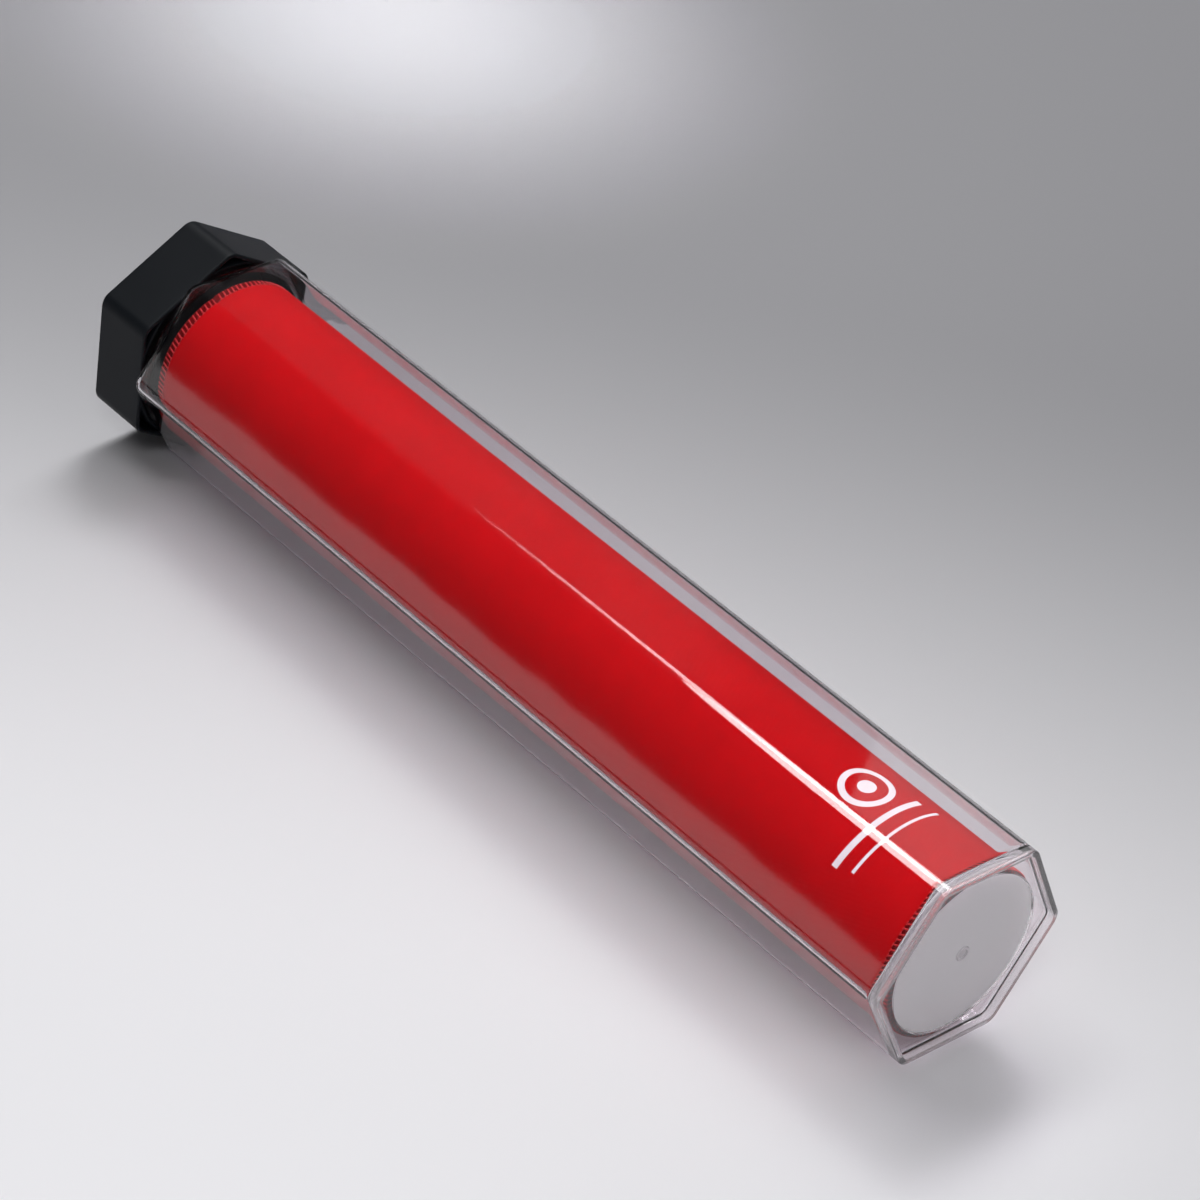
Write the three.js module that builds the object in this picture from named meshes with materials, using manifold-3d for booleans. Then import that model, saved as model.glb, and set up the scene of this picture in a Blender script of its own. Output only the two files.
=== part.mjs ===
// A clear six-sided storage tube with a black screw cap and a rolled cloth mat inside.
//
// The tube, cap and mat are first built upright round the Z axis, with the foot of the tube at
// z = 0 and the cap on top. The last lines lay the whole assembly on its side: the axis then runs
// along X, the foot faces +X, the cap faces -X, and the origin is under the middle of the object,
// on the surface that it lies on. All sizes are in millimetres.

import * as THREE from "three";
import { mergeVertices } from "three/addons/utils/BufferGeometryUtils.js";
import Module from "manifold-3d";

// ---------------------------------------------------------------- driving dimensions

// Gap kept between two separate pieces that rest on each other.
const SEAT_GAP = 0.3;

// Tube: one clear moulding.
const TUBE_FLATS = 69; // across the flats, outside
const TUBE_CORNER = 5.5; // outside radius of the long edges
const TUBE_WALL = 1.3;
const BODY_LENGTH = 370.5; // foot to shoulder
const FOOT_ROUND = 0.5; // rounding of the edge round the foot
const SHOULDER_ROUND = 2.5; // rounding of the edge round the shoulder
const SHOULDER = 1.8; // thickness of the step from the six sides to the round neck

// Foot: a rim that stands proud of a recessed end panel.
const FOOT_RIM = 2.2; // width of the rim
const FOOT_RECESS = 2.5; // depth of the panel below the rim
const PANEL = 2; // thickness of the end panel
const DISC_RADIUS = 29; // round, shallow recess in the panel
const DISC_DEPTH = 0.6;
const GATE_RADIUS = 2.6; // ring left where the plastic entered the mould
const GATE_HOLE = 1.5;
const GATE_HEIGHT = 0.4;

// Cap: one black moulding.
const CAP_OVERHANG = 1.25; // how far each side of the cap stands out beyond the tube's
const CAP_CORNER = 5.5;
const CAP_LENGTH = 24.5;
const CAP_WALL = 1.5; // at the middle of each side
const CAP_TOP = 2;
const CAP_ROUND = 1; // rounding of the outer edges at both ends
const CAP_LIP = 1.2; // depth to which the rim is a plain thin wall
const CAP_RING = 1.5; // wall of the threaded ring where it crosses a corner
const CAP_FLOOR = 3; // solid plastic left above the hollow corners, the top included
const CAP_REST_ANGLE = 28; // how far the tight cap is turned from the tube's corners, in degrees

// Foam liner under the cap's top.
const LINER = 1.5;

// Neck and thread: one start, right-handed.
const NECK_WALL = 1.3;
const THREAD_PITCH = 4;
const THREAD_DEPTH = 0.7;
const THREAD_CLEARANCE = 0.25; // between a crest and the wall that it faces
const THREAD_ROOT_WIDTH = 1.7;
const THREAD_CREST_WIDTH = 1;
const NECK_THREAD_TURNS = 1.25;
const CAP_THREAD_TURNS = 1;
const THREAD_START = 4.5; // from the shoulder to the start of the neck's thread

// Mat: a cloth face on a rubber base, with a stitched border.
const MAT_ROOM = 24.75; // free length left between the roll and the cap's liner
const MAT_LENGTH = 610; // wound up
const CLOTH = 0.4;
const BOND = 0.3; // the glue line between cloth and base, left open
const RUBBER = 1.2;
const WINDING_GAP = 0.4; // between one turn and the next
const BORDER = 3; // width of the stitched border
const MAT_CLEARANCE = 0.25; // round the roll in the neck, and under its end
const OUTER_EDGE_ANGLE = 120; // where the roll's outer edge lies, in degrees

// Fineness of the curved surfaces.
const ROUND_SIDES = 72;
const CORNER_STEPS = 5;
const ROLL_STEPS = 36; // per turn

// ---------------------------------------------------------------- sizes that follow

const INNER_FLATS = TUBE_FLATS - 2 * TUBE_WALL;
const CAP_FLATS = TUBE_FLATS + 2 * CAP_OVERHANG;
const CAP_BORE = CAP_FLATS / 2 - CAP_WALL;
const NECK_RADIUS = CAP_BORE - THREAD_CLEARANCE - THREAD_DEPTH;
const NECK_BORE = NECK_RADIUS - NECK_WALL;
const PANEL_TOP = FOOT_RECESS + PANEL;
const CAP_RIM = BODY_LENGTH + SEAT_GAP;
const CAP_END = CAP_RIM + CAP_LENGTH;
const LINER_TOP = CAP_END - CAP_TOP - SEAT_GAP;
const LINER_UNDERSIDE = LINER_TOP - LINER;
const NECK_END = LINER_UNDERSIDE - SEAT_GAP;

const SHEET = CLOTH + BOND + RUBBER;
const ROLL_RADIUS = Math.min(NECK_BORE, INNER_FLATS / 2) - MAT_CLEARANCE;
const ROLL_PITCH = SHEET + WINDING_GAP;
const MAT_START = PANEL_TOP + MAT_CLEARANCE;
const MAT_END = LINER_UNDERSIDE - MAT_ROOM;

// ---------------------------------------------------------------- solids and booleans

const wasm = await Module();
wasm.setup();

/** A closed three.js geometry as a solid that can be joined and cut. */
function solid(geometry) {
  const bare = geometry.clone();
  bare.deleteAttribute("normal");
  bare.deleteAttribute("uv");
  const merged = mergeVertices(bare, 1e-4);
  return new wasm.Manifold(
    new wasm.Mesh({
      numProp: 3,
      vertProperties: merged.attributes.position.array,
      triVerts: new Uint32Array(merged.index.array),
    }),
  );
}

/** The surface of a solid as a flat-shaded three.js geometry. */
function surface(body) {
  const mesh = body.getMesh();
  const geometry = new THREE.BufferGeometry();
  const points = new THREE.BufferAttribute(new Float32Array(mesh.vertProperties), 3);
  geometry.setAttribute("position", points);
  geometry.setIndex(new THREE.BufferAttribute(new Uint32Array(mesh.triVerts), 1));
  const flat = geometry.toNonIndexed();
  flat.computeVertexNormals();
  return flat;
}

/** A solid cylinder from one height to another. */
function cylinder(radius, bottom, top) {
  const geometry = new THREE.CylinderGeometry(radius, radius, top - bottom, ROUND_SIDES);
  geometry.rotateX(Math.PI / 2);
  geometry.translate(0, 0, (bottom + top) / 2);
  return solid(geometry);
}

/** A regular hexagon with rounded corners, its first corner at the given angle. */
function hexagon(flats, cornerRadius, firstCorner) {
  const centreRadius = (flats / 2 - cornerRadius) / Math.cos(Math.PI / 6);
  const shape = new THREE.Shape();
  for (let k = 0; k < 6; k++) {
    const angle = firstCorner + (k * Math.PI) / 3;
    const x = centreRadius * Math.cos(angle);
    const y = centreRadius * Math.sin(angle);
    shape.absarc(x, y, cornerRadius, angle - Math.PI / 6, angle + Math.PI / 6, false);
  }
  return shape;
}

/** A prism of an outline, with both end edges rounded by the given amount. */
function prism(shape, bottom, top, round = 0) {
  const geometry = new THREE.ExtrudeGeometry(shape, {
    depth: top - bottom - 2 * round,
    curveSegments: CORNER_STEPS,
    bevelEnabled: round > 0,
    bevelThickness: round,
    bevelSize: round,
    bevelOffset: -round,
    bevelSegments: 3,
  });
  geometry.translate(0, 0, bottom + round);
  return solid(geometry);
}

/**
 * A helical ridge on a wall of the given radius. A positive depth stands outwards from a neck, a
 * negative one inwards from a bore. The ridge sinks a little into its wall and fades in and out.
 */
function threadRidge(wallRadius, depth, start, turns) {
  const sink = 0.5 * Math.sign(depth);
  const fadeAngle = Math.PI / 8;
  const steps = Math.ceil(turns * ROUND_SIDES);
  const points = [];
  for (let i = 0; i <= steps; i++) {
    const angle = (2 * Math.PI * turns * i) / steps;
    const toEnd = Math.min(angle, 2 * Math.PI * turns - angle);
    const height = depth * Math.max(0.05, Math.min(1, toEnd / fadeAngle));
    const middle = start + (THREAD_PITCH * angle) / (2 * Math.PI);
    const profile = [
      [wallRadius - sink, middle - THREAD_ROOT_WIDTH / 2],
      [wallRadius, middle - THREAD_ROOT_WIDTH / 2],
      [wallRadius + height, middle - THREAD_CREST_WIDTH / 2],
      [wallRadius + height, middle + THREAD_CREST_WIDTH / 2],
      [wallRadius, middle + THREAD_ROOT_WIDTH / 2],
      [wallRadius - sink, middle + THREAD_ROOT_WIDTH / 2],
    ];
    for (const [radius, z] of profile) {
      points.push(radius * Math.cos(angle), radius * Math.sin(angle), z);
    }
  }
  const around = 6;
  const faces = [];
  const addFace = (a, b, c) => faces.push(...(depth > 0 ? [a, b, c] : [a, c, b]));
  for (let i = 0; i < steps; i++) {
    for (let j = 0; j < around; j++) {
      const a = i * around + j;
      const b = i * around + ((j + 1) % around);
      addFace(a, a + around, b);
      addFace(b, a + around, b + around);
    }
  }
  for (let j = 1; j < around - 1; j++) {
    const last = steps * around;
    addFace(0, j, j + 1);
    addFace(last, last + j + 1, last + j);
  }
  const geometry = new THREE.BufferGeometry();
  geometry.setAttribute("position", new THREE.Float32BufferAttribute(points, 3));
  geometry.setIndex(faces);
  return solid(geometry);
}

// ---------------------------------------------------------------- the tube

const TUBE_TURN = Math.PI / 6;

function tubeBody() {
  const outline = hexagon(TUBE_FLATS, TUBE_CORNER, TUBE_TURN);
  const spare = 2 * SHOULDER_ROUND; // keeps each rounding clear of the other end
  const outside = prism(outline, 0, BODY_LENGTH + spare, FOOT_ROUND).intersect(
    prism(outline, -spare, BODY_LENGTH, SHOULDER_ROUND),
  );
  const innerCorner = Math.max(1, TUBE_CORNER - TUBE_WALL);
  const inside = hexagon(INNER_FLATS, innerCorner, TUBE_TURN);
  const hollow = prism(inside, PANEL_TOP, BODY_LENGTH - SHOULDER);
  const rimCorner = Math.max(1, TUBE_CORNER - FOOT_RIM);
  const rimInside = hexagon(TUBE_FLATS - 2 * FOOT_RIM, rimCorner, TUBE_TURN);
  const recess = prism(rimInside, -1, FOOT_RECESS);
  const disc = cylinder(DISC_RADIUS, 0, FOOT_RECESS + DISC_DEPTH);

  const neck = cylinder(NECK_RADIUS, BODY_LENGTH - SHOULDER / 2, NECK_END);
  const bore = cylinder(NECK_BORE, BODY_LENGTH - SHOULDER - 1, NECK_END + 1);
  const thread = threadRidge(
    NECK_RADIUS,
    THREAD_DEPTH,
    BODY_LENGTH + THREAD_START,
    NECK_THREAD_TURNS,
  );
  const gateTop = FOOT_RECESS + DISC_DEPTH + 0.5;
  const gateFace = FOOT_RECESS + DISC_DEPTH - GATE_HEIGHT;
  const gate = cylinder(GATE_RADIUS, gateFace, gateTop).subtract(
    cylinder(GATE_HOLE, gateFace - 1, FOOT_RECESS + DISC_DEPTH),
  );

  const shell = outside.subtract(recess).subtract(disc).add(gate).add(neck).add(thread);
  return shell.subtract(hollow).subtract(bore);
}

// ---------------------------------------------------------------- the cap and its liner

const CAP_TURN = TUBE_TURN + THREE.MathUtils.degToRad(CAP_REST_ANGLE);

function cap() {
  const outside = prism(hexagon(CAP_FLATS, CAP_CORNER, CAP_TURN), CAP_RIM, CAP_END, CAP_ROUND);
  const wallInside = hexagon(
    CAP_FLATS - 2 * CAP_WALL,
    Math.max(1, CAP_CORNER - CAP_WALL),
    CAP_TURN,
  );
  const bore = cylinder(CAP_BORE, CAP_RIM - 1, CAP_END - CAP_TOP);
  const lip = prism(wallInside, CAP_RIM - 1, CAP_RIM + CAP_LIP);
  const corners = prism(wallInside, CAP_RIM - 1, CAP_END - CAP_FLOOR).subtract(
    cylinder(CAP_BORE + CAP_RING, CAP_RIM - 2, CAP_END),
  );
  const ridgeStart = BODY_LENGTH + THREAD_START - THREAD_PITCH / 2;
  const thread = threadRidge(CAP_BORE, -THREAD_DEPTH, ridgeStart, CAP_THREAD_TURNS);
  return outside.subtract(bore).subtract(lip).subtract(corners).add(thread);
}

function capLiner() {
  return cylinder(CAP_BORE - SEAT_GAP, LINER_UNDERSIDE, LINER_TOP);
}

// ---------------------------------------------------------------- the rolled mat

/** The angle wound by the time a length of sheet is rolled up, counted from the outer edge. */
function woundAngle(length) {
  const middle = ROLL_RADIUS - SHEET / 2;
  const shrink = ROLL_PITCH / (4 * Math.PI);
  return (middle - Math.sqrt(middle * middle - 4 * shrink * length)) / (2 * shrink);
}

/**
 * A layer of the rolled sheet, between two lengths along it and two depths below its face, as a
 * spiral strip that runs from one height to another.
 */
function rolledLayer(fromLength, toLength, depth, thickness, bottom, top) {
  const first = woundAngle(fromLength);
  const last = woundAngle(toLength);
  const step = (2 * Math.PI) / ROLL_STEPS;
  const angles = [first];
  for (let i = Math.floor(first / step) + 1; i * step < last - step / 10; i++) {
    if (i * step > first + step / 10) {
      angles.push(i * step);
    }
  }
  angles.push(last);
  const start = THREE.MathUtils.degToRad(OUTER_EDGE_ANGLE);
  const point = (angle, below) => {
    const radius = ROLL_RADIUS - (ROLL_PITCH * angle) / (2 * Math.PI) - below;
    return new THREE.Vector2(
      radius * Math.cos(start + angle),
      radius * Math.sin(start + angle),
    );
  };
  const outer = angles.map((angle) => point(angle, depth));
  const inner = angles.map((angle) => point(angle, depth + thickness)).reverse();
  return prism(new THREE.Shape([...outer, ...inner]), bottom, top);
}

const SEAM = BORDER + SEAT_GAP; // from an edge of the mat to where its plain layers start
const FIELD_START = MAT_START + SEAM;
const FIELD_END = MAT_END - SEAM;

function matCloth() {
  return rolledLayer(SEAM, MAT_LENGTH - SEAM, 0, CLOTH, FIELD_START, FIELD_END);
}

function matBase() {
  return rolledLayer(SEAM, MAT_LENGTH - SEAM, CLOTH + BOND, RUBBER, FIELD_START, FIELD_END);
}

function endBorder(bottom) {
  return rolledLayer(0, MAT_LENGTH, 0, SHEET, bottom, bottom + BORDER);
}

function sideBorder(fromLength) {
  return rolledLayer(fromLength, fromLength + BORDER, 0, SHEET, FIELD_START, FIELD_END);
}

// ---------------------------------------------------------------- the assembly

const CLEAR = { color: 0xe6e2ea, roughness: 0.06, metalness: 0, transparent: true, opacity: 0.3 };
const BLACK = { color: 0x1b2024, roughness: 0.5, metalness: 0 };
const FOAM = { color: 0x232425, roughness: 0.95, metalness: 0 };
const RED_CLOTH = { color: 0xc8102a, roughness: 0.85, metalness: 0 };
const BASE_RUBBER = { color: 0x17181a, roughness: 0.9, metalness: 0 };
const RED_THREAD = { color: 0xa80c1c, roughness: 0.8, metalness: 0 };

const pieces = [
  ["tube_body", tubeBody(), CLEAR],
  ["screw_cap", cap(), BLACK],
  ["cap_liner", capLiner(), FOAM],
  ["mat_cloth", matCloth(), RED_CLOTH],
  ["mat_rubber_base", matBase(), BASE_RUBBER],
  ["border_stitch_foot_end", endBorder(MAT_START), RED_THREAD],
  ["border_stitch_cap_end", endBorder(MAT_END - BORDER), RED_THREAD],
  ["border_stitch_outer_edge", sideBorder(0), RED_THREAD],
  ["border_stitch_inner_edge", sideBorder(MAT_LENGTH - BORDER), RED_THREAD],
];

const upright = new THREE.Group();
for (const [name, body, look] of pieces) {
  const mesh = new THREE.Mesh(surface(body), new THREE.MeshStandardMaterial(look));
  mesh.name = name;
  upright.add(mesh);
}

/** How far a rounded hexagon reaches from its centre, in a direction this far from a corner. */
function reach(flats, cornerRadius, angleFromCorner) {
  const centreRadius = (flats / 2 - cornerRadius) / Math.cos(Math.PI / 6);
  return centreRadius * Math.cos(angleFromCorner) + cornerRadius;
}

// Lying down, the tube has a flat underneath, so the cap's lowest corner is this far from straight
// down, and whichever of cap and tube reaches lower sets the height of the axis.
const capTilt = Math.PI / 6 - THREE.MathUtils.degToRad(CAP_REST_ANGLE);
const axisHeight = Math.max(reach(CAP_FLATS, CAP_CORNER, capTilt), TUBE_FLATS / 2);

upright.rotation.y = -Math.PI / 2;
upright.position.set(CAP_END / 2, 0, axisHeight);

const assembly = new THREE.Group();
assembly.add(upright);

export default assembly;
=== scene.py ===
# %% [markdown]
# # A clear six-sided storage tube with a rolled mat
#
# The object is a clear moulded tube with six sides and a closed foot, a black screw cap, and a
# red cloth mat on a rubber base, rolled up inside. The CAD model is loaded first as a fixed
# frame. Each piece below is built where the frame says, in metres, and rides on a CAD body.

import math

import bmesh
import bpy
import numpy as np
from mathutils import Matrix, Vector


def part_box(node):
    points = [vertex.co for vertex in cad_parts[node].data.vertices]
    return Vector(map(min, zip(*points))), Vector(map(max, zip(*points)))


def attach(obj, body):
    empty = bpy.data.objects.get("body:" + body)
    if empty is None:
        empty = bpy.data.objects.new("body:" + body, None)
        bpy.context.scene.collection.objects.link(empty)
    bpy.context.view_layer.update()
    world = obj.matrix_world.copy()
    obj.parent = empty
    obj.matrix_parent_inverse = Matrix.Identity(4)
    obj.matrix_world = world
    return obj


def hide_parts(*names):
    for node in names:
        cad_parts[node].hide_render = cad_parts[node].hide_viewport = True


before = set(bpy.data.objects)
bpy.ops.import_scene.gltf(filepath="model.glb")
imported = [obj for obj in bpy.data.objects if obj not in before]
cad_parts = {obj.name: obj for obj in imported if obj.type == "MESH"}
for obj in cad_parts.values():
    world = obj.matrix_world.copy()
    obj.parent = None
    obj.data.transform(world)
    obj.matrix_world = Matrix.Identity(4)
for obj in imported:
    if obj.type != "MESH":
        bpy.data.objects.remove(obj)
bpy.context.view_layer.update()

# %% [markdown]
# The tube's axis runs along X, with the foot at the +X end. Pieces could each be made round their
# own origin and then moved into place, but two pieces that touch would then be measured in two
# ways. So every round or six-sided piece is described by the same three numbers, and one function
# turns them into a place: the distance from the foot, an angle round the axis, which is 0 towards
# +Y and 90 degrees straight up, and a radius.

# %% The tube's axis
MM = 0.001
low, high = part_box("tube_body")
AXIS = (low.z + high.z) / 2
FOOT = high.x


def on_axis(s, angle, radius):
    """A point from its distance s from the foot, its angle and its radius."""
    s, angle, radius = np.broadcast_arrays(s, angle, radius)
    return np.stack([FOOT - s, radius * np.cos(angle), AXIS + radius * np.sin(angle)], -1)


print(f"axis {AXIS / MM:.2f} mm up, foot at {FOOT / MM:.2f} mm")

# %% [markdown]
# ## Materials
#
# Maths in a material is easier to read as an expression than as a chain of nodes. A small class
# wraps a socket and adds one Math node for each operator, with the reflected forms too, so that
# `1 - mask` works.


# %% Sockets as numbers
class Value:
    """A number that varies over a surface."""

    def __init__(self, finish, socket):
        self.finish, self.socket = finish, socket

    def math(self, operation, *others):
        inputs = dict(enumerate([self, *others]))
        return self.finish.node("ShaderNodeMath", {"operation": operation}, inputs)

    def __add__(self, other):
        return self.math("ADD", other)

    def __sub__(self, other):
        return self.math("SUBTRACT", other)

    def __rsub__(self, other):
        inputs = {0: other, 1: self}
        return self.finish.node("ShaderNodeMath", {"operation": "SUBTRACT"}, inputs)

    def __mul__(self, other):
        return self.math("MULTIPLY", other)

    def __lt__(self, other):
        return self.math("LESS_THAN", other)

    def ramp(self, start, end):
        """0 below start and 1 above end, with a soft step between."""
        settings = {"interpolation_type": "SMOOTHSTEP"}
        inputs = {0: self, 1: start, 2: end, 3: 0.0, 4: 1.0}
        return self.finish.node("ShaderNodeMapRange", settings, inputs)

    __radd__ = __add__
    __rmul__ = __mul__


# %% [markdown]
# All other nodes come from one method, which takes a node's type, its settings and its inputs. A
# finish is one material. Its other methods are the few kinds of node that nearly every finish
# here needs: a noise, a mix of two colours, a bump, and the surface itself.


# %% A material from nodes
def whole_colour(value):
    """Adds the fourth number that Blender wants to a colour of three."""
    return (*value, 1) if isinstance(value, tuple) and len(value) == 3 else value


class Finish:
    """A material that is built from nodes."""

    def __init__(self, name):
        self.material = bpy.data.materials.new(name)
        self.material.use_nodes = True
        self.tree = self.material.node_tree
        self.tree.nodes.clear()
        self.output = self.tree.nodes.new("ShaderNodeOutputMaterial")

    def node(self, kind, settings=None, inputs=None, output=0):
        """Adds a node. Settings come first, then values or links for its inputs."""
        made = self.tree.nodes.new(kind)
        for name, value in (settings or {}).items():
            setattr(made, name, value)
        for name, value in (inputs or {}).items():
            if isinstance(value, Value):
                self.tree.links.new(value.socket, made.inputs[name])
            else:
                made.inputs[name].default_value = value
        return Value(self, made.outputs[output])

    def pick(self, value, part):
        """Another output of the node that made a value."""
        return Value(self, value.socket.node.outputs[part])

    def place_on_object(self):
        return self.pick(self.node("ShaderNodeTexCoord"), "Object")

    def noise(self, scale, detail=3.0, roughness=0.5, at=None):
        inputs = {"Scale": scale, "Detail": detail, "Roughness": roughness}
        where = at or self.place_on_object()
        return self.node("ShaderNodeTexNoise", None, {"Vector": where, **inputs})

    def mix(self, factor, first, second):
        """A colour between two colours."""
        inputs = {0: factor, 6: whole_colour(first), 7: whole_colour(second)}
        return self.node("ShaderNodeMix", {"data_type": "RGBA"}, inputs, output=2)

    def bump(self, height, distance, strength=1.0):
        """A normal that follows a height, where the height is 0 to 1 and distance is in metres."""
        inputs = {"Height": height, "Distance": distance, "Strength": strength}
        return self.node("ShaderNodeBump", None, inputs)

    def surface(self, **inputs):
        """A Principled surface. Underscores in the names stand for spaces."""
        named = {name.replace("_", " "): whole_colour(value) for name, value in inputs.items()}
        return self.node("ShaderNodeBsdfPrincipled", None, named)

    def done(self, shader):
        self.tree.links.new(shader.socket, self.output.inputs["Surface"])
        print("finish", self.material.name, len(self.tree.nodes), "nodes")
        return self.material


# %% [markdown]
# ### Clear plastic
#
# The tube is a clear moulding with polished walls. Its end panel has a satin surface, and the rim
# round the foot is a little milky, as a thick moulded edge often is. The walls could be made
# mostly transparent, which is quick, but then nothing bends at the rounded edges and they vanish.
# So the plastic is a real glass-like surface with the bending of acrylic, and one value makes it
# less polished and less clear. Glass casts a solid shadow unless its light is traced in full, so
# lamps see a plain see-through surface instead of the glass.


# %% Clear plastic
def clear_plastic(name, frost):
    """Clear moulded plastic. frost is 0 for polished and 1 for a satin surface."""
    f = Finish(name)
    ripple = f.noise(14.0, 2.0)
    fine = f.noise(900.0, 4.0, 0.6)
    roughness = 0.015 + 0.015 * ripple + frost * (0.33 + 0.14 * fine)
    glass = f.surface(
        Base_Color=f.mix(ripple, (0.93, 0.885, 0.925), (0.995, 0.98, 0.99)),
        Roughness=roughness,
        IOR=1.49,
        Transmission_Weight=1.0 - 0.55 * frost,
        Normal=f.bump(ripple, 0.4 * MM, 0.12 + 0.2 * frost),
    )
    through = f.node("ShaderNodeBsdfTransparent", None, {"Color": (0.9, 0.88, 0.91, 1)})
    is_lamp = f.pick(f.node("ShaderNodeLightPath"), "Is Shadow Ray")
    return f.done(f.node("ShaderNodeMixShader", None, {0: is_lamp, 1: glass, 2: through}))


CLEAR = clear_plastic("clear_plastic", 0.0)
FROSTED = clear_plastic("satin_clear_plastic", 1.0)
MILKY = clear_plastic("milky_edge_plastic", 0.32)

# %% [markdown]
# ### Black plastic
#
# The cap is a black moulding with a fine satin grain, and it is so dark that its shape shows
# mostly in its highlights. The grain could be displaced geometry, but at a few hundredths of a
# millimetre a small bump looks the same. Broad patches of slightly different gloss keep the flat
# faces from looking computer-made, and the edges are rubbed a little smoother by handling.


# %% Black plastic
def black_plastic():
    f = Finish("black_plastic")
    grain = f.noise(2600.0, 3.0, 0.6)
    patches = f.noise(35.0, 3.0)
    geometry = f.node("ShaderNodeNewGeometry")
    rubbed = f.pick(geometry, "Pointiness").ramp(0.52, 0.6)
    return f.done(
        f.surface(
            Base_Color=f.mix(patches, (0.003, 0.0045, 0.007), (0.005, 0.007, 0.010)),
            Roughness=0.44 + 0.1 * patches - 0.1 * rubbed,
            Specular_IOR_Level=0.2,
            Normal=f.bump(grain, 0.06 * MM, 0.5),
        )
    )


BLACK = black_plastic()

# %% [markdown]
# ### Red cloth
#
# The mat's face is a fine knitted polyester. Its stitches are about half a millimetre across, far
# too small to model one by one, so two waves that cross give the knit as a bump, and a faint sheen
# brightens it at grazing angles. Near the foot a plain white mark is printed: a ring with a dot,
# and two bars. It could be an image, but a mask made from distances stays sharp however near the
# camera comes. Both need to know where they are on the flat sheet, so the sheet's own coordinates,
# u along its length and v along the tube, are kept on its mesh as a UV map in metres. The cloth's
# colour is darkened under the border's thread as painted shade, where little light reaches it.

# %% The flat sheet
SHEET_MAP = "sheet"
MAT_LENGTH, MAT_WIDTH = 610 * MM, 362 * MM


def sheet_place(finish):
    """The place on the flat sheet, and its u and v alone."""
    flat = finish.node("ShaderNodeUVMap", {"uv_map": SHEET_MAP})
    u = finish.node("ShaderNodeSeparateXYZ", None, {0: flat})
    return flat, u, finish.pick(u, "Y")


print(f"flat sheet {MAT_LENGTH / MM:.0f} by {MAT_WIDTH / MM:.0f} mm")

# %% Cloth with a printed mark
MARK_U, MARK_V = 124.5 * MM, 47.5 * MM
BARS = (  # middle from the ring's centre in u and in v, length, width
    (-8 * MM, -13.2 * MM, 36 * MM, 2.2 * MM),
    (-6 * MM, -19.5 * MM, 36 * MM, 1.1 * MM),
)


def printed_mark(u, v):
    """1 where the white ink is, and 0 elsewhere."""
    across, along = u - MARK_U, v - MARK_V
    away = (across * across + along * along).math("SQRT")
    ring = (away - 7.8 * MM).math("ABSOLUTE") < 1.1 * MM
    ink = ring + (away < 3 * MM)
    for middle_u, middle_v, length, width in BARS:
        in_length = (u - (MARK_U + middle_u)).math("ABSOLUTE") < length / 2
        in_width = (v - (MARK_V + middle_v)).math("ABSOLUTE") < width / 2
        ink = ink + in_length * in_width
    return ink.math("MINIMUM", 1.0)


def red_cloth():
    f = Finish("red_cloth")
    flat, u, v = sheet_place(f)
    rows = (u * (2 * math.pi / (0.45 * MM))).math("SINE")
    columns = (v * (2 * math.pi / (0.6 * MM))).math("SINE")
    knit = (rows * columns) * 0.5 + 0.5
    cloudy = f.noise(60.0, 4.0, 0.6, at=flat)
    fibres = f.noise(2500.0, 2.0, 0.7, at=flat)
    printed = printed_mark(u, v)
    cloth = f.mix(cloudy, (0.38, 0.0004, 0.002), (0.5, 0.001, 0.004))
    cloth = f.mix(fibres * 0.3, cloth, (0.6, 0.003, 0.006))
    from_side = u.math("MINIMUM", MAT_LENGTH - u)
    from_edge = from_side.math("MINIMUM", v.math("MINIMUM", MAT_WIDTH - v))
    # painted shade: the cloth's colour is darkened along its edges, under the border's thread
    painted_shade_under_thread = 1 - from_edge.ramp(2.9 * MM, 3.6 * MM)
    cloth = f.mix(painted_shade_under_thread * 0.85, cloth, (0.07, 0.0, 0.001))
    return f.done(
        f.surface(
            Base_Color=f.mix(printed * (0.9 + 0.1 * fibres), cloth, (0.8, 0.79, 0.8)),
            Roughness=0.82 - 0.2 * printed,
            Specular_IOR_Level=0.04,
            Sheen_Weight=0.06,
            Sheen_Roughness=0.4,
            Sheen_Tint=(1.0, 0.12, 0.1),
            Normal=f.bump(knit * 0.7 + fibres * 0.5, 0.16 * MM, 0.6),
        )
    )


CLOTH = red_cloth()

# %% [markdown]
# ### Rubber
#
# The mat's base is black foamed rubber, pressed with a small diamond grid so that it grips a
# table. Two waves that cross at a slant give the grid's grooves, in the sheet's own coordinates,
# so that the grid follows the roll. Pores are a fine noise in both colour and roughness.


# %% Black rubber
def black_rubber():
    f = Finish("black_rubber")
    _, u, v = sheet_place(f)
    one = ((u + v) * (math.pi / (2.4 * MM))).math("SINE").math("ABSOLUTE")
    two = ((u - v) * (math.pi / (2.4 * MM))).math("SINE").math("ABSOLUTE")
    grid = one.math("MINIMUM", two).ramp(0.1, 0.5)
    pores = f.noise(1800.0, 3.0, 0.7)
    return f.done(
        f.surface(
            Base_Color=f.mix(pores, (0.012, 0.012, 0.0125), (0.024, 0.0235, 0.024)),
            Roughness=0.8 + 0.15 * pores,
            Normal=f.bump(grid * 0.8 + pores * 0.2, 0.2 * MM, 0.6),
        )
    )


RUBBER = black_rubber()

# %% [markdown]
# ### Thread and foam
#
# The border's thread is red polyester. Each thread is modelled, so its material only adds the
# fine twist of its fibres and a slow change of shade along it. The liner inside the cap is dark
# closed-cell foam, and a Voronoi pattern gives its cells, which are rounder than noise.


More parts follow.
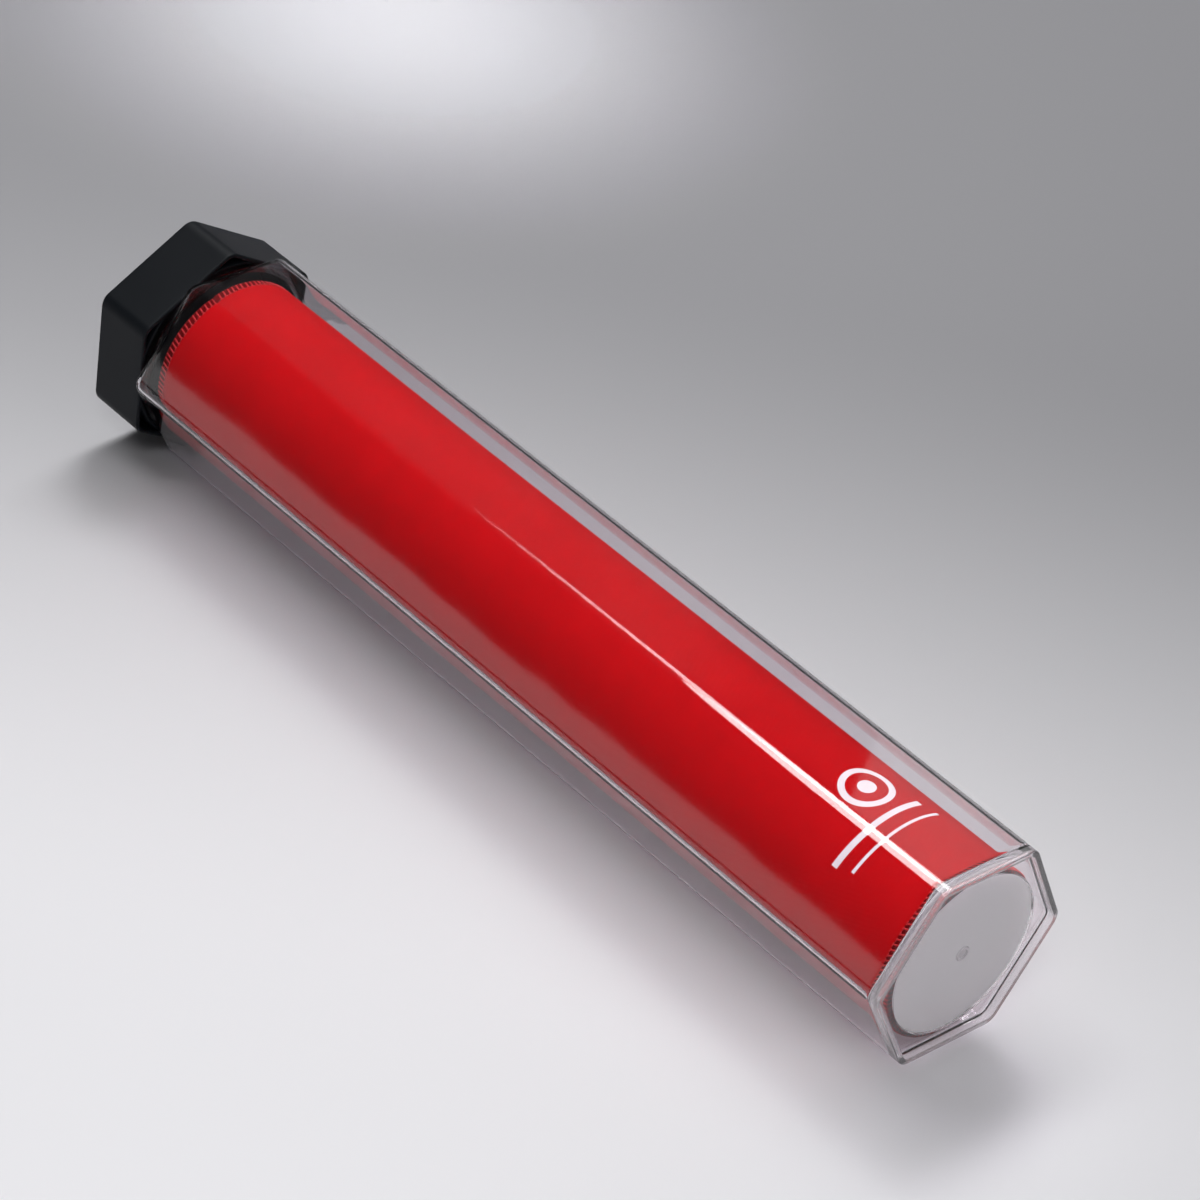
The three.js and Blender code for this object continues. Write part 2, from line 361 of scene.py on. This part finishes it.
# %% Red thread
def red_thread():
    f = Finish("red_thread")
    twist = f.noise(5200.0, 2.0, 0.6)
    shade = f.noise(300.0, 2.0)
    return f.done(
        f.surface(
            Base_Color=f.mix(shade, (0.42, 0.002, 0.006), (0.62, 0.006, 0.012)),
            Roughness=0.6 + 0.2 * twist,
            Sheen_Weight=0.15,
            Sheen_Tint=(1.0, 0.2, 0.15),
            Normal=f.bump(twist, 0.1 * MM, 0.5),
        )
    )


THREAD = red_thread()


# %% Liner foam
def liner_foam():
    f = Finish("liner_foam")
    cells = f.node("ShaderNodeTexVoronoi", None, {"Scale": 1400.0})
    dirt = f.noise(90.0, 4.0)
    return f.done(
        f.surface(
            Base_Color=f.mix(dirt, (0.03, 0.031, 0.033), (0.018, 0.0185, 0.02)),
            Roughness=0.85 + 0.1 * dirt,
            Normal=f.bump(cells, 0.3 * MM, 0.6),
        )
    )


FOAM = liner_foam()

# %% [markdown]
# ## Shapes
#
# Both mouldings have six sides with rounded corners, a round threaded part, and rounded edges
# everywhere. They could be extruded and bevelled, with the thread joined on by a boolean, but each
# of those steps leaves its own seams. Here each moulding is one lofted surface instead: a closed
# line of points goes round the axis, and its radius and its distance from the foot change from
# ring to ring. Walls, roundings, the neck and the thread are all rings of the same skin. The
# points stand closer together at the six corners, where the line bends.


# %% A six-sided outline
def six_corner_angles(turn):
    """Angles round the axis, close together at the corners and 3.6 degrees apart elsewhere."""
    near = 4.6
    corner = np.linspace(-near, near, 15)
    side = -np.linspace(-near, near - 60, 15)[1:-1]
    one = np.concatenate([corner, side])
    return np.radians(np.concatenate([one + 60 * k + turn for k in range(6)]))


def six_sided(angles, turn, flats, corner):
    """The radius of a six-sided outline with rounded corners, at each angle."""
    corner = max(corner, 0.05 * MM)
    off = (np.degrees(angles) - turn + 30) % 60 - 30
    off = np.abs(np.radians(off))
    centre = (flats / 2 - corner) / math.cos(math.pi / 6)
    arc_ends = math.atan2(corner * 0.5, centre + corner * math.cos(math.pi / 6))
    inside = np.maximum(corner**2 - (centre * np.sin(off)) ** 2, 0)
    rounded = centre * np.cos(off) + np.sqrt(inside)
    return np.where(off < arc_ends, rounded, flats / 2 / np.cos(math.pi / 6 - off))


print(len(six_corner_angles(0)), "points round a six-sided piece")


# %% A mesh from points and faces
def mesh_object(name, points, faces, material, smooth=True):
    mesh = bpy.data.meshes.new(name)
    mesh.from_pydata(points.tolist(), [], faces)
    mesh.materials.append(material)
    if smooth:
        mesh.shade_smooth()
    made = bpy.data.objects.new(name, mesh)
    bpy.context.scene.collection.objects.link(made)
    return made


def outward(made):
    """Turns the faces of a closed mesh so that they all face out."""
    work = bmesh.new()
    work.from_mesh(made.data)
    bmesh.ops.recalc_face_normals(work, faces=work.faces)
    if work.calc_volume(signed=True) < 0:
        bmesh.ops.reverse_faces(work, faces=work.faces)
    work.to_mesh(made.data)
    work.free()


# %% Lofting round the axis
def loft(name, angles, rings, material):
    """A closed surface through rings of (radius, distance from the foot), which start and end on
    the axis. A radius or a distance may be one number or one for each angle."""
    count = len(angles)
    points = [on_axis(rings[0][1], 0.0, 0.0)[None]]
    points += [on_axis(s, angles, radius) for radius, s in rings[1:-1]]
    points.append(on_axis(rings[-1][1], 0.0, 0.0)[None])
    points = np.concatenate(points)
    around = np.arange(count)
    after = (around + 1) % count
    faces = [(0, 1 + a, 1 + b) for a, b in zip(around, after, strict=True)]
    for k in range(len(rings) - 3):
        a, b = 1 + k * count + around, 1 + k * count + after
        faces += np.stack([a, a + count, b + count, b], 1).tolist()
    end, tip = 1 + (len(rings) - 3) * count, len(points) - 1
    faces += [(end + b, end + a, tip) for a, b in zip(around, after, strict=True)]
    made = mesh_object(name, points, faces, material)
    outward(made)
    flat_faces = made.modifiers.new("flat faces stay flat", "WEIGHTED_NORMAL")
    flat_faces.weight = 90
    flat_faces.keep_sharp = True
    print(name, len(rings), "rings,", len(made.data.vertices), "points")
    return made


def rounding(radius, steps=5):
    """Steps round a rounded edge, from its flat end face to its side: how far each is in from the
    side, and how far from the end face."""
    turn = np.linspace(0, math.pi / 2, steps)
    return [(radius * (1 - math.sin(t)), radius * (1 - math.cos(t))) for t in turn]


def rounding_back(radius, steps=5):
    """The same steps, from the side to the end face."""
    return rounding(radius, steps)[::-1]


# %% [markdown]
# The screw thread is one ridge that climbs 4 mm in each turn. It could be a separate swept
# profile, but it is moulded in one with the wall, so here the wall's own radius grows by the
# ridge's height where the ridge passes. The ridge fades in and out over its ends.

# %% The screw thread
PITCH, THREAD_DEPTH = 4 * MM, 0.7 * MM
FADE = math.radians(22.5)


def ridge(angles, s, start, turns):
    """How high the thread stands at each angle, as a share of its full height."""
    climbed = (math.pi / 2 - angles) % (2 * math.pi)
    height = np.zeros_like(climbed)
    for lap in range(math.ceil(turns) + 1):
        travelled = climbed + 2 * math.pi * lap
        to_end = np.minimum(travelled, 2 * math.pi * turns - travelled)
        fade = np.clip(to_end / FADE, 0, 1)
        from_middle = np.abs(s - start - PITCH * travelled / (2 * math.pi)) / MM
        height = np.maximum(height, fade * np.clip((0.85 - from_middle) / 0.35, 0, 1))
    return height


print(f"thread {PITCH / MM:.0f} mm a turn, {THREAD_DEPTH / MM:.1f} mm deep")

# %% [markdown]
# ## The clear tube
#
# The foot has a rim that stands 2.5 mm proud of the end panel. The panel has a round, shallow
# recess, and a small ring at its centre, where the plastic entered the mould. A clear wall has two
# surfaces, and both have to be there for the light to bend as it does in the real one. A shell
# thickened by a modifier would have the same wall everywhere, but the foot is thicker and the neck
# is not. So the skin is drawn all the way: it starts at the centre of the foot, runs out over the
# rim, along the six sides to the neck, and back down inside.

# %% The foot's end panel
TUBE_FLATS, TUBE_CORNER, TUBE_TURN = 69 * MM, 5.5 * MM, 0.0
WALL, BODY, SHOULDER_ROUND = 1.3 * MM, 370.5 * MM, 2.5 * MM
NECK, NECK_BORE, NECK_END = 33.3 * MM, 32.0 * MM, 391.2 * MM
RIM = 2.2 * MM
tube_angles = six_corner_angles(TUBE_TURN)


def tube_outline(inset=0.0):
    return six_sided(tube_angles, TUBE_TURN, TUBE_FLATS - 2 * inset, TUBE_CORNER - inset)


def panel_rings():
    """The outer face of the foot, from its centre to the inner edge of the rim."""
    gate = [(1.2, 3.1), (1.45, 3.05), (1.6, 2.74), (1.8, 2.68), (2.3, 2.68), (2.55, 2.76)]
    gate += [(2.65, 3.04), (2.9, 3.1)]
    disc = [(8, 3.1), (15, 3.1), (22, 3.1), (27.6, 3.1), (28.5, 3.08), (28.85, 3.0)]
    disc += [(29.0, 2.8), (29.1, 2.58), (29.4, 2.5), (29.9, 2.5)]
    return [(r * MM, s * MM) for r, s in [(0, 3.1), *gate, *disc]]


print("end panel", len(panel_rings()), "rings")


# %% The tube's outside and inside
def outside_rings():
    """From the rim, along the six sides, to the end of the threaded neck."""
    steps = ((1.2, 2.5), (0.8, 2.5), (0.3, 2.38), (0.08, 2.1), (0, 1.7))
    rings = [(tube_outline(RIM + inset * MM), s * MM) for inset, s in steps]
    rings += [(tube_outline(RIM - d), s) for d, s in rounding_back(0.4 * MM, 4)]
    rings += [(tube_outline(d), s) for d, s in rounding(0.6 * MM)]
    rings += [(tube_outline(), s * MM) for s in (3, 12, 60, 120, 180, 240, 300, 350, 362)]
    rings += [(tube_outline(d), BODY - s) for d, s in rounding_back(SHOULDER_ROUND, 8)]
    rings += [(NECK + d * MM, BODY + s * MM) for d, s in ((0.5, 0), (0.15, 0.08), (0.02, 0.3))]
    for s in np.arange(BODY + 0.6 * MM, NECK_END - 0.9 * MM, 0.3 * MM):
        lift = THREAD_DEPTH * ridge(tube_angles, s, BODY + 4.5 * MM, 1.25)
        rings.append((NECK + lift, s))
    return rings + [(NECK - d, NECK_END - s) for d, s in rounding_back(0.6 * MM)]


def inside_rings():
    """From the neck's end, down the bore and the walls, to the centre of the floor."""
    rings = [(NECK_BORE + d, NECK_END - s) for d, s in rounding(0.5 * MM)]
    rings += [(NECK_BORE, BODY + 10 * MM), (NECK_BORE, BODY - 1.4 * MM)]
    rings += [(NECK_BORE + 0.1 * MM, BODY - 1.7 * MM), (NECK_BORE + 0.35 * MM, BODY - 1.8 * MM)]
    rings.append((tube_outline(WALL + 0.5 * MM), BODY - 1.8 * MM))
    rings.append((tube_outline(WALL + 0.12 * MM), BODY - 2.0 * MM))
    walls = (367.6, 366, 360, 300, 240, 180, 120, 60, 12, 6.5)
    rings += [(tube_outline(WALL), s * MM) for s in walls]
    rings += [(tube_outline(WALL + d), 4.5 * MM + s) for d, s in rounding_back(1.2 * MM)]
    return rings + [(r * MM, 4.5 * MM) for r in (29, 24, 16, 8, 0)]


print(len(outside_rings()), "rings outside,", len(inside_rings()), "inside")

# %% The tube
tube = loft("tube", tube_angles, panel_rings() + outside_rings() + inside_rings(), CLEAR)
tube.data.materials.append(FROSTED)
tube.data.materials.append(MILKY)
for face in tube.data.polygons:  # satin on both sides of the end panel, milky on the rim
    from_foot = FOOT - face.center.x
    radius = math.hypot(face.center.y, face.center.z - AXIS)
    if 2.45 * MM < from_foot < 4.6 * MM and 2.9 * MM < radius < 28.8 * MM:
        face.material_index = 1
    elif from_foot < 2.3 * MM and radius > 30 * MM:
        face.material_index = 2
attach(tube, "tube")
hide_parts("tube_body")

# %% [markdown]
# ## The screw cap
#
# The cap is a wide six-sided moulding. A round threaded wall inside it grips the neck, and the
# six corners outside that wall are hollow, as corners are in a moulding whose walls are all thin.
# Tightened, it stops 28 degrees round from the tube's own corners. It is lofted as the tube is.
# The hollows could be six boolean cuts, but on the loft they need only a choice at each angle:
# where the six-sided wall is outside the round one, the rings go down into the corner and back.

# %% The cap's outside
CAP_FLATS, CAP_CORNER, CAP_TURN = 71.5 * MM, 5.5 * MM, 32.0
CAP_RIM, CAP_END = 370.8 * MM, 395.3 * MM
CAP_WALL, CAP_BORE, RING_WALL = 1.5 * MM, 34.25 * MM, 1.5 * MM
CAP_LIP, CAP_CEILING = CAP_RIM + 1.2 * MM, CAP_END - 2 * MM
cap_angles = six_corner_angles(CAP_TURN)


def cap_outline(inset=0.0):
    return six_sided(cap_angles, CAP_TURN, CAP_FLATS - 2 * inset, CAP_CORNER - inset)


def cap_outside():
    rings = [(r * MM, CAP_END) for r in (0, 12, 24, 31)]
    rings += [(cap_outline(d), CAP_END - s) for d, s in rounding(1.0 * MM, 7)]
    rings += [(cap_outline(), s * MM) for s in (392, 386, 380, 375)]
    rings += [(cap_outline(d), CAP_RIM + s) for d, s in rounding_back(0.7 * MM)]
    return rings + [(cap_outline(CAP_WALL - d), CAP_RIM + s) for d, s in rounding(0.3 * MM, 3)]


print(f"cap {CAP_FLATS / MM:.1f} mm across its flats, {(CAP_END - CAP_RIM) / MM:.1f} mm long")


# %% The cap's hollow corners and its threaded ring
def hollow_corners():
    """Down the six-sided wall into each corner, and back up the outside of the round ring."""
    wall = cap_outline(CAP_WALL)
    ring = CAP_BORE + RING_WALL
    hollow = wall > ring + 0.05 * MM
    floor = np.where(hollow, CAP_END - 3 * MM, CAP_LIP)
    outer = np.maximum(wall, CAP_BORE + 0.02 * MM)
    rings = [(outer, CAP_LIP - 0.2 * MM)]
    outer = np.where(hollow, wall, np.minimum(outer, ring))
    inner = np.where(hollow, ring, np.minimum(outer, ring) - 0.001 * MM)
    shares = (0.0, 0.25, 0.5, 0.75, 1.0)
    rings += [(outer, CAP_LIP + (floor - CAP_LIP) * share + 0.0002 * MM) for share in shares]
    return rings + [(inner, CAP_LIP + (floor - CAP_LIP) * share) for share in shares[::-1]]


def threaded_bore():
    """Up the bore, with the thread standing inwards, and over the ceiling to the axis."""
    rings = [(CAP_BORE + 0.2 * MM, CAP_LIP)]
    for s in np.arange(CAP_LIP + 0.2 * MM, CAP_END - 2.2 * MM, 0.3 * MM):
        lift = THREAD_DEPTH * ridge(cap_angles, s, BODY + 2.5 * MM, 1.0)
        rings.append((CAP_BORE - lift, s))
    rings.append((CAP_BORE - 0.15 * MM, CAP_CEILING - 0.05 * MM))
    rings.append((CAP_BORE - 0.6 * MM, CAP_CEILING))
    return rings + [(r * MM, CAP_CEILING) for r in (24, 12, 0)]


print(len(hollow_corners()), "rings in the corners,", len(threaded_bore()), "in the bore")

# %% The cap
cap = loft("cap", cap_angles, cap_outside() + hollow_corners() + threaded_bore(), BLACK)
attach(cap, "cap")
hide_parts("screw_cap")

# %% [markdown]
# The liner is a disc of foam under the cap's top, with slightly rounded edges. It is pressed a
# little in a ring, where the neck's end meets it. A cloth simulation could press it, but the dent
# is a tenth of a millimetre deep and perfectly round, so it is lofted from a few rings.

# %% The liner
liner_angles = np.radians(np.arange(0, 360, 3.0))
LINER_LOW, LINER_HIGH = 391.5 * MM, 393.0 * MM
liner_rings = [(r * MM, LINER_LOW) for r in (0, 15, 31.2)]
liner_rings += [(r * MM, LINER_LOW + 0.12 * MM) for r in (31.9, 32.6, 33.2)]
liner_rings += [(33.5 * MM, LINER_LOW + 0.05 * MM), (33.85 * MM, LINER_LOW + 0.25 * MM)]
liner_rings += [(33.9 * MM, LINER_LOW + 1.2 * MM), (33.7 * MM, LINER_HIGH - 0.05 * MM)]
liner_rings += [(r * MM, LINER_HIGH) for r in (33.3, 15, 0)]
liner = loft("liner", liner_angles, liner_rings, FOAM)
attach(liner, "liner")
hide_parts("cap_liner")

# %% [markdown]
# ## The rolled mat
#
# The mat is one flat sheet, 610 by 362 mm, wound a bit over 3.6 times with the cloth outwards.
# A simulation could roll it up, but it is slow and hard to steer to an exact size. A spiral drawn
# and thickened would do for the sheet, but not for the stitches on it. So a point of the sheet is
# described by u, how far it is from the roll's outer edge, by v, how far it is from the end by the
# foot, and by its depth below the cloth's face. Everything on the mat, the stitches too, is laid
# out in those flat sizes and then wound up by one function. A hand never rolls a mat quite evenly,
# so the roll's surface swells and dips by a tenth or two of a millimetre.

# %% Winding the sheet
MAT_START, SHEET = 4.75 * MM, 1.9 * MM
ROLL, LAP = 31.75 * MM, 2.3 * MM
OUTER_EDGE = math.radians(-30)


def wound(u):
    """How far round the roll a point is, in radians."""
    middle, shrink = ROLL - SHEET / 2, LAP / (4 * math.pi)
    return (middle - np.sqrt(middle**2 - 4 * shrink * u)) / (2 * shrink)


def unevenness(angle, v):
    """The gentle swell of a roll that was wound by hand."""
    along = v / MAT_WIDTH * 2 * math.pi
    swell = 0.5 * np.sin(2 * angle + 0.8 * along) + 0.35 * np.sin(3 * angle - 1.1 * along + 1)
    swell = swell + 0.25 * np.sin(angle + 1.9 * along + 2)
    near_end = np.clip(np.minimum(v, MAT_WIDTH - v) / (30 * MM), 0, 1)
    return 0.14 * MM * swell * (0.3 + 0.7 * near_end)


def on_sheet(u, v, painted_shade_to_back):
    """Where a point of the flat sheet lies in the roll."""
    u, v, painted_shade_to_back = np.broadcast_arrays(u, v, painted_shade_to_back)
    inside = np.clip(u, 0, MAT_LENGTH - 0.01 * MM)
    turned = wound(inside)
    turned = turned + (u - inside) / (ROLL - LAP * turned / (2 * math.pi))
    angle = OUTER_EDGE - turned
    radius = ROLL - LAP * turned / (2 * math.pi) - painted_shade_to_back + unevenness(angle, v)
    return on_axis(MAT_START + v, angle, radius)


print(f"wound {math.degrees(wound(MAT_LENGTH)) / 360:.2f} turns")

# %% [markdown]
# The mat's two layers, cloth and rubber, are glued together. Each could be a single sheet with a
# Solidify modifier, but the cloth isn't equally thick: it is thinner along its four edges, where
# the border's thread pulls it down. So each layer is a closed slab: a grid for its face, a grid
# for its back, and a band of faces that joins them all round.


# %% The two layers
def steps_along(length, first, last, step):
    """Grid lines in mm, close together near both edges and evenly spaced between."""
    edge = np.array([0, 1.2, 2.6, 4])
    return np.concatenate([edge, np.arange(first, last, step), length - edge[::-1]]) * MM


def slab_faces(rows, columns):
    """The faces of two grids of points, one behind the other, and the band between them."""
    index = np.arange(rows * columns).reshape(rows, columns)
    quads = [index[:-1, :-1], index[1:, :-1], index[1:, 1:], index[:-1, 1:]]
    front = np.stack([q.ravel() for q in quads], 1)
    behind = front[:, ::-1] + rows * columns
    rim = np.concatenate([index[:-1, 0], index[-1, :-1], index[:0:-1, -1], index[0, :0:-1]])
    after = np.roll(rim, -1)
    band = np.stack([rim, rim + rows * columns, after + rows * columns, after], 1)
    return np.concatenate([front, behind, band]).tolist()


def slab(name, top, bottom, pinch, material):
    """One layer of the sheet between two depths. pinch is how much thinner it is at its edges."""
    u, v = steps_along(610, 5.5, 604, 1.75), steps_along(362, 9, 356, 6.5)
    uu, vv = np.meshgrid(u, v, indexing="ij")
    edge = np.minimum(np.minimum(uu, MAT_LENGTH - uu), np.minimum(vv, MAT_WIDTH - vv))
    squeeze = pinch * (1 - np.clip(edge / (3.6 * MM), 0, 1)) ** 0.5
    both = [on_sheet(uu, vv, top + squeeze), on_sheet(uu, vv, bottom)]
    points = np.concatenate([side.reshape(-1, 3) for side in both])
    made = mesh_object(name, points, slab_faces(*uu.shape), material)
    outward(made)
    flat = np.concatenate([np.stack([uu, vv], -1).reshape(-1, 2)] * 2)
    layer = made.data.uv_layers.new(name=SHEET_MAP)
    corners = np.empty(len(made.data.loops), np.int32)
    made.data.loops.foreach_get("vertex_index", corners)
    layer.data.foreach_set("uv", flat[corners].astype(np.float32).ravel())
    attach(made, "mat_roll")
    print(name, len(made.data.vertices), "points")
    return made


cloth = slab("mat_cloth_sheet", 0.0, 0.42 * MM, 0.22 * MM, CLOTH)
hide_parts("mat_cloth")
rubber = slab("mat_rubber_sheet", 0.44 * MM, SHEET, 0.0, RUBBER)
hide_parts("mat_rubber_base")

# %% [markdown]
# The border is overlocked: one thread loops over the edge again and again, and a second runs
# along the inner ends of the loops, 3 mm in. A striped bump would look right from afar, but the
# stitches stand up and catch the light one by one, so each is real. A stitch is a short line of
# points over the face, round the edge and along the back. The lines are wound up with the sheet
# and then given a round section. They could be curves with a bevel, but one mesh is quicker than
# two thousand curves.


# %% Round threads along lines
def round_threads(paths, radius, sides=6):
    """The points and faces of threads along many lines, which all have as many points."""
    lines, count = paths.shape[:2]
    along = np.gradient(paths, axis=1)
    along /= np.linalg.norm(along, axis=2, keepdims=True)
    out = (paths - np.array([0, 0, AXIS])) * np.array([0, 1, 1])
    side = np.cross(along, out)
    side /= np.maximum(np.linalg.norm(side, axis=2, keepdims=True), 1e-9)
    out = np.cross(side, along)
    taper = np.ones(count)
    taper[[0, -1]] = 0.35
    turn = np.arange(sides) * 2 * math.pi / sides
    spokes = side[:, :, None] * np.cos(turn)[:, None] + out[:, :, None] * np.sin(turn)[:, None]
    points = paths[:, :, None] + spokes * radius * taper[None, :, None, None]
    index = np.arange(lines * count * sides).reshape(lines, count, sides)
    a, b = index[:, :-1], index[:, 1:]
    quads = np.stack([a, np.roll(a, -1, 2), np.roll(b, -1, 2), b], -1).reshape(-1, 4).tolist()
    ends = index[:, 0, ::-1].tolist() + index[:, -1].tolist()
    return points.reshape(-1, 3), quads + ends


# %% One edge of stitches
STITCH, LOOP_THREAD, LOCK_THREAD = 1.85 * MM, 0.3 * MM, 0.2 * MM
LOOP = np.array(
    [  # along the edge in stitches, from the edge in mm, depth in mm
        (0.00, 3.35, 0.45),
        (0.02, 3.1, 0.16),
        (0.12, 2.2, 0.12),
        (0.28, 1.1, 0.14),
        (0.38, 0.35, 0.30),
        (0.42, 0.12, 0.75),
        (0.42, 0.12, 1.35),
        (0.36, 0.42, 1.84),
        (0.2, 1.6, 1.9),
        (0.02, 3.0, 1.86),
    ]
)
LOCK = np.array(
    [(-0.44, 3.1, 0.2), (-0.3, 3.12, 0.06), (0.0, 3.15, 0.04), (0.3, 3.12, 0.06), (0.44, 3.1, 0.2)]
)


def border(edge, length, place, seed):
    """Overlocks one edge. place turns (along the edge, from the edge) into the sheet's u and v."""
    rng = np.random.default_rng(seed)
    count = int(length / STITCH)
    middles = (np.arange(count) + 0.5) * length / count
    points, faces = np.empty((0, 3)), []
    for shape, radius in ((LOOP, LOOP_THREAD), (LOCK, LOCK_THREAD)):
        wobble = rng.normal(0, 0.05, (count, 1))
        along = middles[:, None] + (shape[:, 0] + wobble) * STITCH
        inward = shape[:, 1] * MM * (1 + rng.normal(0, 0.03, (count, 1)))
        paths = on_sheet(*place(along, inward), shape[:, 2] * MM)
        more, threads = round_threads(paths, radius)
        faces += [[corner + len(points) for corner in face] for face in threads]
        points = np.concatenate([points, more])
    made = mesh_object(f"overlock_{edge}", points, faces, THREAD)
    outward(made)
    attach(made, "mat_roll")
    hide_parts(f"border_stitch_{edge}")
    print(made.name, count, "stitches")
    return made


# %% The four borders
EDGES = {
    "foot_end": (MAT_LENGTH, lambda along, inward: (along, inward)),
    "cap_end": (MAT_LENGTH, lambda along, inward: (along, MAT_WIDTH - inward)),
    "outer_edge": (MAT_WIDTH, lambda along, inward: (inward, along)),
    "inner_edge": (MAT_WIDTH, lambda along, inward: (MAT_LENGTH - inward, along)),
}
borders = [
    border(edge, length, place, seed)
    for seed, (edge, (length, place)) in enumerate(EDGES.items(), 1)
]

# %% [markdown]
# ## Floor, light and camera
#
# The floor is plain and pale, and its colour is darkened towards the back as painted shade, where
# the light would fall off. Lamps turned away from the back would darken it too, but they would
# also change the highlights on the tube. A ramp across the floor's colour changes the floor alone.


# %% The floor
def floor():
    f = Finish("pale_floor")
    x = f.node("ShaderNodeSeparateXYZ", None, {0: f.place_on_object()})
    # painted shade: the floor's colour is darkened towards the back
    painted_shade_to_back = (f.pick(x, "Y") * 0.75 - x * 0.67).ramp(-0.16, 0.3)
    colour = f.mix(painted_shade_to_back, (0.88, 0.875, 0.905), (0.34, 0.338, 0.357))
    material = f.done(f.surface(Base_Color=colour, Roughness=0.6))
    far = 6.0
    points = np.array([(-far, -far, 0), (far, -far, 0), (far, far, 0), (-far, far, 0)])
    made = mesh_object("floor", points, [(0, 1, 2, 3)], material, smooth=False)


floor()

# %% [markdown]
# Clear and black plastic show the lamps more than they show light, so the lamps are chosen by
# what they look like in a face of the tube or the cap. Each is a card of light, given by how
# bright its face looks. A long strip overhead and a key card behind it light the top faces and
# draw the highlights along the upper edges. A low and dim band fills the front face, and two faint
# cards show the back and the foot's end. Two small lamps only brighten the floor, in front of the
# foot and behind the cap. A faint grey world fills what no lamp reaches.


# %% Lamps
def lamp(name, at, towards, size, power, spread=180):
    data = bpy.data.lights.new(name, "AREA")
    data.shape, data.size, data.size_y = "RECTANGLE", *size
    data.energy, data.spread = power, math.radians(spread)
    made = bpy.data.objects.new(name, data)
    made.location = at
    aim = Vector(towards) - Vector(at)
    made.rotation_mode = "QUATERNION"
    made.rotation_quaternion = aim.to_track_quat("-Z", "Y")
    bpy.context.scene.collection.objects.link(made)
    print("lamp", name, f"{power:.2f} W")


def card(name, at, towards, size, brightness):
    """A soft lamp given by how bright its face looks."""
    lamp(name, at, towards, size, brightness * math.pi * size[0] * size[1])


card("overhead_strip", (-0.52, 0.18, 1.25), (-0.52, 0.18, 0.0), (0.26, 1.74), 8.4)
card("key_card", (-0.72, 0.6, 1.45), (-0.1, 0.05, 0.05), (0.4, 0.5), 9)
card("front_card", (-0.8, -1.5, 0.347), (-0.8, 0.0, 0.347), (4.4, 0.174), 0.7)
card("back_card", (-0.6, 1.5, 1.4), (0.0, 0.0, 0.05), (0.7, 0.8), 0.5)
card("side_card", (1.3, 0.3, 0.75), (0.1, 0.0, 0.05), (0.8, 0.8), 1.1)
lamp("front_pool", (0.62, -0.85, 1.2), (0.36, -0.44, 0.0), (0.4, 0.4), 1.3, spread=66)
lamp("floor_spot", (-0.39, 0.26, 0.8), (-0.39, 0.26, 0.0), (0.1, 0.1), 0.15, spread=22)

# %% Light from all round
world = bpy.data.worlds.new("soft light")
world.use_nodes = True
background = world.node_tree.nodes["Background"]
background.inputs["Color"].default_value = (0.5, 0.5, 0.52, 1)
background.inputs["Strength"].default_value = 0.08
bpy.context.scene.world = world
bpy.context.scene.view_settings.view_transform = "Standard"
print("world strength", round(background.inputs["Strength"].default_value, 3))

# %% [markdown]
# The camera looks down on the object from beyond the foot, and it is rolled a little, as a
# hand-held camera is. A constraint could aim it at a target, but it would keep the camera level.
# So its place and two of its directions are written as numbers, and the third is square to both.

# %% The camera
RIGHT, UP = Vector((0.6517, 0.74261, 0.15435)), Vector((-0.52234, 0.29186, 0.80124))
camera = bpy.data.objects.new("camera", bpy.data.cameras.new("camera"))
camera.data.sensor_width, camera.data.lens = 36, 134.27
turned = Matrix((RIGHT, UP, RIGHT.cross(UP))).transposed()
camera.matrix_world = Matrix.Translation((0.80905, -0.86247, 0.88799)) @ turned.to_4x4()
bpy.context.scene.collection.objects.link(camera)
bpy.context.scene.camera = camera
print(f"camera with a {camera.data.lens:.0f} mm lens")

# %% [markdown]
# Last, the scene is brought up to date. Every piece was drawn in the frame, and none was fitted
# afterwards.

# %% Finish
bpy.context.view_layer.update()
